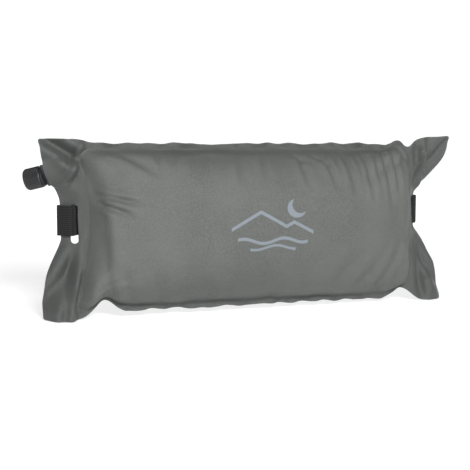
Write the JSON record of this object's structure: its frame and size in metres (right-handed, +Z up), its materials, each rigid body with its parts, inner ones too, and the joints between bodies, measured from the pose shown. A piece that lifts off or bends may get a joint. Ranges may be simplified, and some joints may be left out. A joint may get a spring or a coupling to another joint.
{
  "type": "camp pillow",
  "caption": "Self-inflating camp pillow: foam-filled welded fabric shell, wide end ears, side twist valve and an elastic strap across the back.",
  "frame": {"origin": "middle of the lower weld edge that the pillow stands on", "axes": "+X along the pillow towards the end without the valve, +Y from the front towards the strap at the back, +Z up across its width"},
  "size_m": [0.5019, 0.0978, 0.19],
  "materials": {
    "shell_fabric": "coated plain-weave polyester, soft sheen",
    "foam": "open-cell foam, matt",
    "elastic": "woven elastic webbing with fine cross ribs, matt",
    "tack_thread": "dense polyester thread",
    "valve_plastic": "moulded, fine satin",
    "seal_rubber": "moulded, matt"
  },
  "bodies": {
    "pillow": {"front_panel": "shell_fabric", "back_panel": "shell_fabric", "foam_core": "foam", "elastic_strap": "elastic", "left_bar_tack": "tack_thread", "right_bar_tack": "tack_thread", "valve_stem": "valve_plastic", "valve_stop_ring": "valve_plastic", "post_seal_ring": "seal_rubber"},
    "cap_seal": {"cap_seal_ring": "seal_rubber"},
    "twist_cap": {"valve_cap": "valve_plastic"}
  },
  "joints": [
    {"name": "valve_travel", "type": "slide", "parent": "pillow", "child": "cap_seal", "axis": [-0.8355, 0.4969, -0.2345], "range_m": [0, 0.00375]},
    {"name": "valve_turn", "type": "hinge", "parent": "cap_seal", "child": "twist_cap", "pos_m": [-0.2443, 0.02308, 0.14865], "axis": [-0.8355, 0.4969, -0.2345], "range_deg": [0, 450]}
  ],
  "couplings": [
    {"joint": "valve_travel", "follows": "valve_turn", "m_per_rad": 0.00047746}
  ]
}
